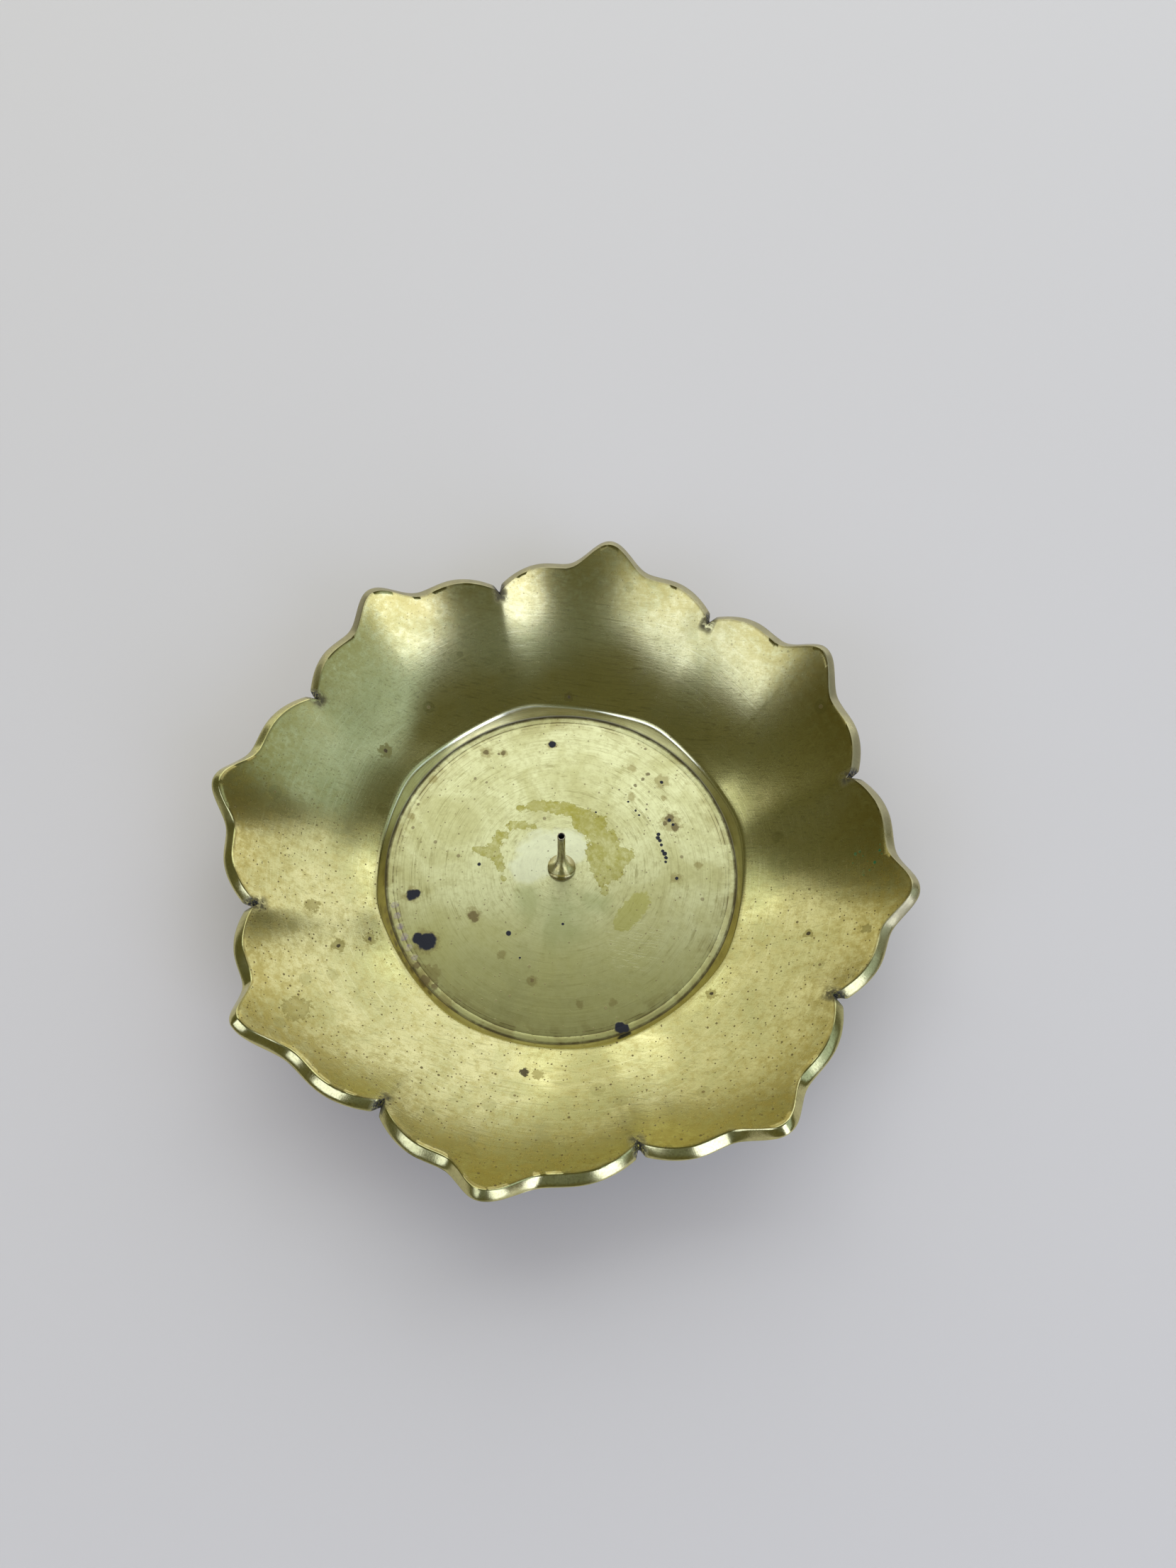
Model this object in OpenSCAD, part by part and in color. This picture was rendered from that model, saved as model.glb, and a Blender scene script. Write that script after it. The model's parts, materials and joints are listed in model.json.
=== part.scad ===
// Lotus lamp dish: a cast brass bowl of eight petals round a sunk well, with a slim hollow nozzle
// standing in the middle. Millimetres, Z up, and the table is the plane Z = 0.

/* [Petals] */
// Number of petals
petal_count = 8; // [6:1:10]
// Width over opposite petal tips, at the outside of the rim
dish_w = 150; // [140:1:165]
// Thickness of the cast petals
petal_t = 2.4; // [1.6:0.1:2.6]
// Width, seen from above, of the sloping face that is filed along the rim
rim_w = 2.3; // [2:0.1:3]
// Height of a petal tip above the edge of the floor
tip_rise = 24.4; // [18:0.2:28]
// Slope of a petal where it leaves the well, in degrees
start_slope = 12.8; // [8:0.2:18]
// How far the shoulders of a petal stand back from its tip
shoulder_back = 4.4; // [3:0.1:6]
// How far the valley between two petals stands back from the shoulders
valley_back = 4.1; // [2:0.1:5]
// Depth of the file cut in the valley between two petals
nick_depth = 0.6; // [0.3:0.1:1]
// Hollow of a petal below the ridges beside it, at the well
hollow_at_well = 0.7; // [0.3:0.1:1.2]
// Hollow of a petal below the ridges beside it, at the rim
hollow_at_rim = 2.9; // [1.5:0.1:4]

/* [Well] */
// Radius of the floor, where the wall of the well meets it
well_r = 39.5; // [36:0.5:42]
// Height of the petals' surface at the edge of the well, above the edge of the floor
lip_h = 1.95; // [1.2:0.05:3]
// Outward lean of the wall of the well, in millimetres for each millimetre of height
wall_lean = 0.6; // [0.3:0.05:0.9]
// Thickness of the floor plate
plate_t = 2; // [1.6:0.1:2.4]
// Rise of the domed floor from its edge to its middle
dome_h = 1.5; // [0.5:0.1:2]

/* [Foot] */
// Height of the foot ring
foot_h = 4; // [3.6:0.2:8]
// Outer radius of the foot ring
foot_r = 43; // [42:0.2:43.4]
// Width of the foot ring's metal
foot_w = 5; // [4:0.5:6]

/* [Nozzle] */
// Height of the nozzle above the floor
nozzle_h = 18; // [14:0.5:26]
// Radius of the nozzle at its tip
nozzle_tip_r = 0.86; // [0.8:0.01:1.2]
// Radius of the nozzle's flared base
nozzle_base_r = 3.14; // [2.8:0.02:4]
// Radius of the bore that holds the stick or wick
bore_r = 0.65; // [0.5:0.01:0.7]
// Depth of the bore
bore_depth = 11; // [6:0.5:13]
// Radius of the threaded shank under the nozzle
shank_r = 1.5; // [1.25:0.05:1.5]

/* [Hidden] */

// Levels
floor_z = foot_h + plate_t;
seat_z = floor_z + dome_h;
under_seat_z = foot_h + dome_h;

// Petals: x is the distance out from the edge of the floor, u is 0 on a petal's middle and 1 on a ridge
tip_rim_w = 2;
nick_rim_w = 1.4;
tip_r = dish_w / 2 - tip_rim_w;
shoulder_r = tip_r - shoulder_back;
valley_r = shoulder_r - valley_back;
tip_x = tip_r - well_r;
curve = (tip_rise - lip_h - tan(start_slope) * tip_x) / (tip_x * tip_x);
half_petal = 180 / petal_count;
tip_u = 0.37;
shoulder_u = 0.58;
nick_u = 0.035;

// Section of the filed rim, outward and up from its inner edge, as shares of its width
rim_inner = [0.3, -0.15];
rim_middle = [0.85, -0.48];
rim_outer = [1, -0.68];

// Softness of the ridges between the petals, as a share of half a petal: crisp at the rim, melting away at the well
rim_soft = 0.06;
well_soft = 0.36;

// The petals were filed by hand, so each tip turns aside by a degree or two and reaches its own way out
tip_turn = [0.5, 1, 0.5, -2.5, -2, -1, -1, 1];
tip_reach = [0.2, 0, 0, 0.8, 0.2, 0.4, 0, 0];

// Hub: the thick ring of the casting that the floor plate is soldered into
plate_r = well_r + 1.45;
rebate_r = well_r + 1.5;
hub_r = rebate_r + 3;
hub_edge = 0.5;
hub_wall_h = 2.4;
underside_start_r = hub_r + 1.8;

// Places where a petal is sampled, from its middle to its ridge and from the well to the rim
u_steps = [0, 0.05, 0.1, 0.16, 0.23, 0.3, 0.37, 0.48, 0.6, 0.72, 0.82, 0.9, 1 - nick_u];
half_list = concat(u_steps, [1]);
petal_list = concat([for (i = [len(half_list) - 1 : -1 : 1]) -half_list[i]], u_steps);
columns = petal_count * len(petal_list);
top_steps = 10;
under_steps = 5;
function petal_of(j) = floor(j / len(petal_list));
function u_of(j) = petal_list[j % len(petal_list)];
function turned(j) = tip_turn[petal_of(j) % len(tip_turn)] * pow(1 - abs(u_of(j)), 1.5);
function angle_of(j) = 90 + (2 * petal_of(j) + u_of(j)) * half_petal + turned(j);

// Height of the middle line of a petal at x
function middle_z(x) = lip_h + tan(start_slope) * x + curve * x * x;

// Slope angle of the middle line of a petal at x
function slope_at(x) = atan(tan(start_slope) + 2 * curve * x);

// Share of the hollow's depth that is filled at u: a spoon shape with a softly rounded ridge
function ridge_share(u, soft) =
    let (far = sqrt(1 + soft * soft), near = sqrt((1 - u) * (1 - u) + soft * soft))
    pow((far - near) / (far - soft), 2.2);

// Height of a petal's upper face above the edge of the floor
function top_z(r, u) =
    let (x = r - well_r, share = x / (valley_r - well_r))
    let (hollow = hollow_at_well + (hollow_at_rim - hollow_at_well) * share)
    let (soft = rim_soft + (well_soft - rim_soft) * max(0, 1 - share))
    middle_z(x) + hollow * ridge_share(u, soft);

// Radius where the leaning wall of the well meets a petal's upper face
function lip_r(u, rounds = 5) =
    rounds == 0 ? well_r + wall_lean * lip_h
                : well_r + wall_lean * top_z(lip_r(u, rounds - 1), u);

// Outline of the upper face: a blunt pointed tip, round shoulders and a filed valley
function tip_part(u) = u < tip_u ? (1 + cos(180 * u / tip_u)) / 2 : 0;
function valley_part(u) = u > shoulder_u ? valley_back * pow((u - shoulder_u) / (1 - shoulder_u), 1.6) : 0;
function nick_part(u) = u > 1 - nick_u / 2 ? nick_depth : 0;
function outline_r(u, reach) = shoulder_r + (shoulder_back + reach) * tip_part(u) - valley_part(u) - nick_part(u);

// Width of the rim: narrower at the tip and in the valley
function rim_w_at(u) = u > 1 - nick_u / 2 ? nick_rim_w : rim_w - (rim_w - tip_rim_w) * tip_part(u);

// A point of the upper face, and the point of the under face that lies one thickness below it
function top_point(r, u) = [r, floor_z + top_z(r, u)];
function under_point(r, u) =
    let (a = slope_at(r - well_r))
    top_point(r, u) + petal_t * [sin(a), -cos(a)];

// Cross section of the casting at u, anticlockwise in [radius, height]
function section(u, reach) =
    let (r_in = lip_r(u), r_out = outline_r(u, reach), w = rim_w_at(u))
    concat(
        [
            [rebate_r, foot_h], [hub_r - hub_edge, foot_h], [hub_r, foot_h + hub_edge],
            [hub_r, foot_h + hub_wall_h]
        ],
        [for (i = [0 : under_steps])
            under_point(underside_start_r + (r_out - underside_start_r) * i / under_steps, u)],
        [
            top_point(r_out, u) + w * rim_outer,
            top_point(r_out, u) + w * rim_middle,
            top_point(r_out, u) + w * rim_inner
        ],
        [for (i = [top_steps : -1 : 0]) top_point(r_in + (r_out - r_in) * i / top_steps, u)],
        [[well_r, floor_z], [rebate_r, floor_z]]
    );

module petal_dish() {
    rings = [
        for (j = [0 : columns - 1]) section(abs(u_of(j)), tip_reach[petal_of(j) % len(tip_reach)])
    ];
    rows = len(rings[0]);
    points = [
        for (j = [0 : columns - 1]) for (p = rings[j])
            [p[0] * cos(angle_of(j)), p[0] * sin(angle_of(j)), p[1]]
    ];
    function at(j, i) = (j % columns) * rows + i % rows;
    faces = [
        for (j = [0 : columns - 1]) for (i = [0 : rows - 1]) each
            [
                [at(j, i), at(j + 1, i), at(j, i + 1)],
                [at(j + 1, i), at(j + 1, i + 1), at(j, i + 1)]
            ]
    ];
    color([0.72, 0.65, 0.36]) polyhedron(points, faces);
}

// Height of a dome at r that falls to nothing at radius reach
function dome(r, reach) = r < reach ? dome_h * (1 - pow(r / reach, 2)) : 0;

module floor_plate() {
    dome_steps = 10;
    dome_r = well_r - 1;
    foot_inner_r = foot_r - foot_w;
    flat_r = nozzle_base_r + 0.5;
    hole_r = shank_r + 0.05;
    step = (dome_r - flat_r) / dome_steps;
    under_step = (foot_inner_r - flat_r) / dome_steps;
    upper = [for (i = [0 : dome_steps - 1]) let (r = dome_r - i * step) [r, floor_z + dome(r, dome_r)]];
    under = [
        for (i = [dome_steps - 1 : -1 : 0])
            let (r = foot_inner_r - i * under_step) [r, foot_h + dome(r, foot_inner_r)]
    ];
    profile = concat(
        [[plate_r, foot_h], [plate_r, floor_z]],
        upper,
        [[flat_r, seat_z], [hole_r, seat_z], [hole_r, under_seat_z], [flat_r, under_seat_z]],
        [for (i = [len(under) - 1 : -1 : 0]) under[len(under) - 1 - i]]
    );
    color([0.80, 0.76, 0.50]) rotate_extrude($fn = 144) polygon(profile);
}

module foot_ring() {
    cove = 0.8;
    edge = 0.5;
    inner_r = foot_r - foot_w;
    color([0.66, 0.58, 0.32])
        rotate_extrude($fn = 144)
            polygon([
                [inner_r, edge], [inner_r + edge, 0], [foot_r - edge, 0], [foot_r, edge],
                [foot_r, foot_h * 0.3], [foot_r - cove, foot_h * 0.45], [foot_r - cove, foot_h * 0.8],
                [foot_r - cove / 2, foot_h], [inner_r, foot_h]
            ]);
}

// Radius of the nozzle at height h above the floor: a stem that flares into a trumpet foot
function nozzle_r(h) =
    let (spread = exp(-(h - flange_t) / flare_h), end = exp(-(nozzle_h - flange_t) / flare_h))
    nozzle_tip_r + (nozzle_base_r - nozzle_tip_r) * (spread - end) / (1 - end);
flange_t = 0.45;
flare_h = 2.5;

washer_t = 0.5;
nut_t = 2.4;
shank_end_z = under_seat_z - washer_t - nut_t - 0.5;

module nozzle() {
    flare_points = 14;
    tip_round = 0.12;
    stem_h = nozzle_h - tip_round;
    profile = concat(
        [[0, shank_end_z], [shank_r - 0.3, shank_end_z], [shank_r, shank_end_z + 0.3], [shank_r, seat_z]],
        [[nozzle_base_r, seat_z]],
        [
            for (i = [0 : flare_points])
                let (h = flange_t + (stem_h - flange_t) * pow(i / flare_points, 1.7))
                [nozzle_r(h), seat_z + h]
        ],
        [[nozzle_tip_r - tip_round, seat_z + nozzle_h], [0, seat_z + nozzle_h]]
    );
    color([0.74, 0.66, 0.38])
        difference() {
            rotate_extrude($fn = 64) polygon(profile);
            translate([0, 0, seat_z + nozzle_h - bore_depth])
                cylinder(r = bore_r, h = bore_depth + 1, $fn = 48);
        }
}

module nozzle_washer() {
    color([0.70, 0.62, 0.36])
        translate([0, 0, under_seat_z - washer_t])
            difference() {
                cylinder(r = 3.5, h = washer_t, $fn = 64);
                translate([0, 0, -1]) cylinder(r = shank_r + 0.1, h = washer_t + 2, $fn = 64);
            }
}

module nozzle_nut() {
    across_flats = 5.5;
    color([0.68, 0.60, 0.34])
        translate([0, 0, under_seat_z - washer_t - nut_t])
            difference() {
                cylinder(d = across_flats / cos(30), h = nut_t, $fn = 6);
                translate([0, 0, -1]) cylinder(r = shank_r, h = nut_t + 2, $fn = 64);
            }
}

petal_dish();
floor_plate();
foot_ring();
nozzle();
nozzle_washer();
nozzle_nut();
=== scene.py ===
"""The looks of the brass lotus dish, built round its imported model. Metres, Z up, the table at Z = 0."""

import json
import math

import bpy
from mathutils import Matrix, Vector


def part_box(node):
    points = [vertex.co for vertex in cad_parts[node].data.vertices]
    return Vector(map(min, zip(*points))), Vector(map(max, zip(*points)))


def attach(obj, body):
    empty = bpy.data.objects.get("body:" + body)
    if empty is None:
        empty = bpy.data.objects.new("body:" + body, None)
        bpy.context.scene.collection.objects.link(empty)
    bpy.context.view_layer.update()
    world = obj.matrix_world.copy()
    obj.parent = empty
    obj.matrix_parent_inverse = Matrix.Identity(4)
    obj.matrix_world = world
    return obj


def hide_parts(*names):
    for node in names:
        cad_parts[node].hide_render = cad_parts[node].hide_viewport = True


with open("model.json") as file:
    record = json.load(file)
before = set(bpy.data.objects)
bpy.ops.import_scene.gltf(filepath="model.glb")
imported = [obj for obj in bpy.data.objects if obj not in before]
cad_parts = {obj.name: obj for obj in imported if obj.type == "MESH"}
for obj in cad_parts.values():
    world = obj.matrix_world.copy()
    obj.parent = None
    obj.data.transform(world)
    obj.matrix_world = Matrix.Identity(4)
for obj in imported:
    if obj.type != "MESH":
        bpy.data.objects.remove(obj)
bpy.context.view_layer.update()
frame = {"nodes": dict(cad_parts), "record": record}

MM = 0.001
TURN = 2 * math.pi
FAR_SIDE_TURN = math.radians(9.94)  # from the dish's +Y to straight ahead of the viewer


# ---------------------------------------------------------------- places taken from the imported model

plate_low, plate_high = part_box("floor_plate")
foot_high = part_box("foot_ring")[1]
nozzle_low, nozzle_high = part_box("nozzle")
washer_low, washer_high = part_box("nozzle_washer")
bore = next(m for m in frame["record"]["mounts"] if m["name"] == "nozzle_bore")
bore_r = bore["dims"]["r_mm"] * MM
bore_depth = bore["dims"]["length_mm"] * MM

plate_r = plate_high.x
dome_h = 1.5 * MM
seat_z = plate_high.z
well_z = seat_z - dome_h
well_r = plate_r - 1.45 * MM


# ---------------------------------------------------------------- bench helpers

def deselect():
    bpy.ops.object.select_all(action="DESELECT")


def take(piece):
    deselect()
    piece.select_set(True)
    bpy.context.view_layer.objects.active = piece


def open_mesh(piece, kind="VERT"):
    take(piece)
    bpy.ops.object.mode_set(mode="EDIT")
    bpy.ops.mesh.select_mode(type=kind)


def close_mesh():
    bpy.ops.object.mode_set(mode="OBJECT")


def smooth(piece, degrees=30):
    take(piece)
    bpy.ops.object.shade_smooth_by_angle(angle=math.radians(degrees))


def add_modifier(piece, kind, **values):
    take(piece)
    modifier = piece.modifiers.new(kind.lower(), kind)
    for key, value in values.items():
        setattr(modifier, key, value)
    return modifier


def finish_modifiers(piece):
    take(piece)
    for modifier in list(piece.modifiers):
        bpy.ops.object.modifier_apply(modifier=modifier.name)


def copy_of_node(node, name):
    """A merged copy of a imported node, with its triangles paired into four-sided faces."""
    piece = frame["nodes"][node].copy()
    piece.data = frame["nodes"][node].data.copy()
    piece.name = name
    piece.data.name = name
    piece.parent = None
    for key in list(piece.keys()):
        del piece[key]
    bpy.context.scene.collection.objects.link(piece)
    piece.data.materials.clear()
    open_mesh(piece)
    bpy.ops.mesh.select_all(action="SELECT")
    bpy.ops.mesh.remove_doubles(threshold=0.5e-6)
    bpy.ops.mesh.customdata_custom_splitnormals_clear()
    bpy.ops.mesh.tris_convert_to_quads(face_threshold=math.radians(60), shape_threshold=math.radians(120))
    close_mesh()
    return piece


def turned(name, outline, steps=192):
    """A piece turned on a lathe: outline is a list of (radius, height), walked once round its section."""
    deselect()
    bpy.ops.mesh.primitive_plane_add(size=MM)
    piece = bpy.context.active_object
    piece.name = name
    piece.data.name = name
    open_mesh(piece)
    bpy.ops.mesh.select_all(action="SELECT")
    bpy.ops.mesh.merge(type="CENTER")
    r, z = outline[0]
    bpy.ops.transform.translate(value=(r, 0, z))
    for (r0, z0), (r1, z1) in zip(outline, outline[1:]):
        bpy.ops.mesh.extrude_region_move(TRANSFORM_OT_translate={"value": (r1 - r0, 0, z1 - z0)})
    bpy.ops.mesh.select_all(action="SELECT")
    bpy.ops.mesh.spin(steps=steps, angle=TURN, center=(0, 0, 0), axis=(0, 0, 1))
    bpy.ops.mesh.select_all(action="SELECT")
    bpy.ops.mesh.remove_doubles(threshold=2e-6)
    bpy.ops.mesh.normals_make_consistent(inside=False)
    close_mesh()
    return piece


def arc(r, z, radius, start, end, count=6):
    """Points on an arc round (r, z), by angles in degrees from the outward direction, up being 90."""
    points = []
    for i in range(count + 1):
        angle = math.radians(start + (end - start) * i / count)
        points.append((r + radius * math.cos(angle), z + radius * math.sin(angle)))
    return points


def settle(piece, slot_name, *nodes):
    """Puts a finished piece on its body and hides the imported parts that it takes the place of; slot_name is
    not used.
    """
    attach(piece, "root")
    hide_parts(*nodes)


# ---------------------------------------------------------------- shader helpers

def node(tree, kind, inputs=None, **settings):
    made = tree.nodes.new(kind)
    for key, value in settings.items():
        setattr(made, key, value)
    for key, value in (inputs or {}).items():
        if isinstance(value, bpy.types.NodeSocket):
            tree.links.new(value, made.inputs[key])
        else:
            made.inputs[key].default_value = value
    return made


def sum_of(tree, a, b):
    return node(tree, "ShaderNodeMath", {0: a, 1: b}, operation="ADD").outputs[0]


def product(tree, a, b):
    return node(tree, "ShaderNodeMath", {0: a, 1: b}, operation="MULTIPLY").outputs[0]


def difference(tree, a, b):
    return node(tree, "ShaderNodeMath", {0: a, 1: b}, operation="SUBTRACT").outputs[0]


def larger(tree, a, b):
    return node(tree, "ShaderNodeMath", {0: a, 1: b}, operation="MAXIMUM").outputs[0]


def step(tree, value, low, high, out_low=0.0, out_high=1.0):
    """A soft step of value from low to high."""
    made = node(
        tree, "ShaderNodeMapRange",
        {"Value": value, "From Min": low, "From Max": high, "To Min": out_low, "To Max": out_high},
        interpolation_type="SMOOTHSTEP",
    )
    return made.outputs["Result"]


def blend(tree, share, a, b, how="MIX"):
    made = node(tree, "ShaderNodeMix", {"Factor": share}, data_type="RGBA", blend_type=how)
    for key, value in ((6, a), (7, b)):
        if isinstance(value, bpy.types.NodeSocket):
            tree.links.new(value, made.inputs[key])
        else:
            made.inputs[key].default_value = (*value, 1.0)
    return made.outputs[2]


def noise(tree, where, scale, detail=4.0, roughness=0.55, distortion=0.0):
    made = node(
        tree, "ShaderNodeTexNoise",
        {"Vector": where, "Scale": scale, "Detail": detail, "Roughness": roughness, "Distortion": distortion},
    )
    return made.outputs[0]


def scaled(tree, where, factors):
    return node(tree, "ShaderNodeVectorMath", {0: where, 1: factors}, operation="MULTIPLY").outputs[0]


def distance(tree, where, place):
    return node(tree, "ShaderNodeVectorMath", {0: where, 1: place}, operation="DISTANCE").outputs["Value"]


def length(tree, where):
    return node(tree, "ShaderNodeVectorMath", {0: where}, operation="LENGTH").outputs["Value"]


def along(tree, where, axis):
    """One coordinate: axis is 0, 1 or 2 for X, Y or Z."""
    return node(tree, "ShaderNodeSeparateXYZ", {0: where}).outputs[axis]


def millimetres(tree):
    """The piece's own coordinates, in millimetres."""
    where = node(tree, "ShaderNodeTexCoord").outputs["Object"]
    return scaled(tree, where, (1000, 1000, 1000))


def stretched(tree, where, turn_degrees, scale):
    """Coordinates turned about the upright axis and then scaled, for marks that run one way."""
    made = node(
        tree, "ShaderNodeMapping",
        {"Vector": where, "Rotation": (0, 0, math.radians(turn_degrees)), "Scale": scale},
        vector_type="POINT",
    )
    return made.outputs[0]


def lathe_marks(tree, where, fine, around):
    """Noise that runs round the upright axis, as a cutting tool or a polishing cloth on a lathe leaves it."""
    flat = scaled(tree, where, (1, 1, 0))
    way = node(tree, "ShaderNodeVectorMath", {0: flat}, operation="NORMALIZE").outputs[0]
    round_way = scaled(tree, way, (around,) * 3)
    bands = node(tree, "ShaderNodeCombineXYZ", {2: product(tree, length(tree, flat), fine)}).outputs[0]
    both = node(tree, "ShaderNodeVectorMath", {0: round_way, 1: bands}, operation="ADD").outputs[0]
    return noise(tree, both, 1.0, 5.0, 0.65)


def specks(tree, where, per_mm, size, share):
    """Small dark spots of uneven size: size is their greatest radius and share how many cells hold one."""
    uneven = node(tree, "ShaderNodeTexNoise", {"Vector": where, "Scale": per_mm * 4, "Detail": 2.0})
    moved = blend(tree, 0.012 / per_mm, where, uneven.outputs[1], "LINEAR_LIGHT")
    cells = node(tree, "ShaderNodeTexVoronoi", {"Vector": moved, "Scale": per_mm, "Randomness": 1.0})
    luck = node(tree, "ShaderNodeSeparateColor", {0: cells.outputs["Color"]})
    radius = step(tree, luck.outputs[0], 1 - share, 1.0, 0.0, size * per_mm)
    inside = difference(tree, radius, cells.outputs["Distance"])
    return step(tree, inside, 0.0, 0.06 * per_mm + 0.02)


def stains(tree, where, ragged, places, soft=0.25, uneven=0.28):
    """Stains with uneven outlines: places is a list of (x, y, radius) in millimetres, and ragged is the noise
    that makes their edges uneven."""
    flat = scaled(tree, where, (1, 1, 0))
    total = None
    for x, y, radius in places:
        away = distance(tree, flat, (x, y, 0))
        reach = step(tree, ragged, 0.3, 0.7, radius * (1 - uneven), radius * (1 + uneven))
        mask = step(tree, difference(tree, reach, away), 0.0, soft * radius)
        total = mask if total is None else larger(tree, total, mask)
    return total


def on_circle(radius, degrees, size):
    """A stain's place (x, y, size) by its distance from the axis and the angle round it from +X."""
    angle = math.radians(degrees)
    return radius * math.cos(angle), radius * math.sin(angle), size


def dried_pool(tree, where, ragged, places):
    """One pool with a crisp, uneven edge that runs through several places, as oil leaves when it dries."""
    flat = scaled(tree, where, (1, 1, 0))
    total = step(tree, ragged, 0.3, 0.7, 0.0, 0.55)
    for x, y, radius in places:
        away = distance(tree, flat, (x, y, 0))
        total = sum_of(tree, total, step(tree, away, 2.1 * radius, 0.0))
    return total


def radius_of(tree, where):
    """Distance from the upright axis."""
    return length(tree, scaled(tree, where, (1, 1, 0)))


def band(tree, value, middle, half, soft):
    """1 within half of middle, falling to 0 over soft."""
    off = node(tree, "ShaderNodeMath", {0: difference(tree, value, middle)}, operation="ABSOLUTE").outputs[0]
    return step(tree, off, half, half + soft, 1.0, 0.0)


def near_notch(tree, where, narrow):
    """1 at the eight notches between the petals: narrow sets how close to them."""
    x, y = along(tree, where, 0), along(tree, where, 1)
    angle = node(tree, "ShaderNodeMath", {0: y, 1: x}, operation="ARCTAN2").outputs[0]
    wave = node(tree, "ShaderNodeMath", {0: product(tree, angle, 8.0)}, operation="COSINE").outputs[0]
    return step(tree, wave, -narrow, -1.0)


def new_finish(name):
    material = bpy.data.materials.new(name)
    material.use_nodes = True
    tree = material.node_tree
    shader = tree.nodes["Principled BSDF"]
    return material, tree, shader


def join(tree, shader, colour, metallic, roughness, height, depth):
    """Wires a finish: depth is the height of the relief in metres."""
    tree.links.new(colour, shader.inputs["Base Color"])
    tree.links.new(metallic, shader.inputs["Metallic"])
    tree.links.new(roughness, shader.inputs["Roughness"])
    bump = node(tree, "ShaderNodeBump", {"Height": height, "Strength": 1.0, "Distance": depth})
    tree.links.new(bump.outputs[0], shader.inputs["Normal"])


# ---------------------------------------------------------------- finishes
# Most places in the lists of stains below were read off the photo, turned into millimetres outside this
# script and rounded to half a millimetre. This is a fault.

BRASS = (0.68, 0.62, 0.28)
PALE_BRASS = (0.76, 0.71, 0.36)
OLIVE_BRASS = (0.50, 0.47, 0.19)
BROWN_TARNISH = (0.17, 0.115, 0.035)
BLACK_DEPOSIT = (0.012, 0.013, 0.020)
RUST_BROWN = (0.15, 0.105, 0.035)


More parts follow.
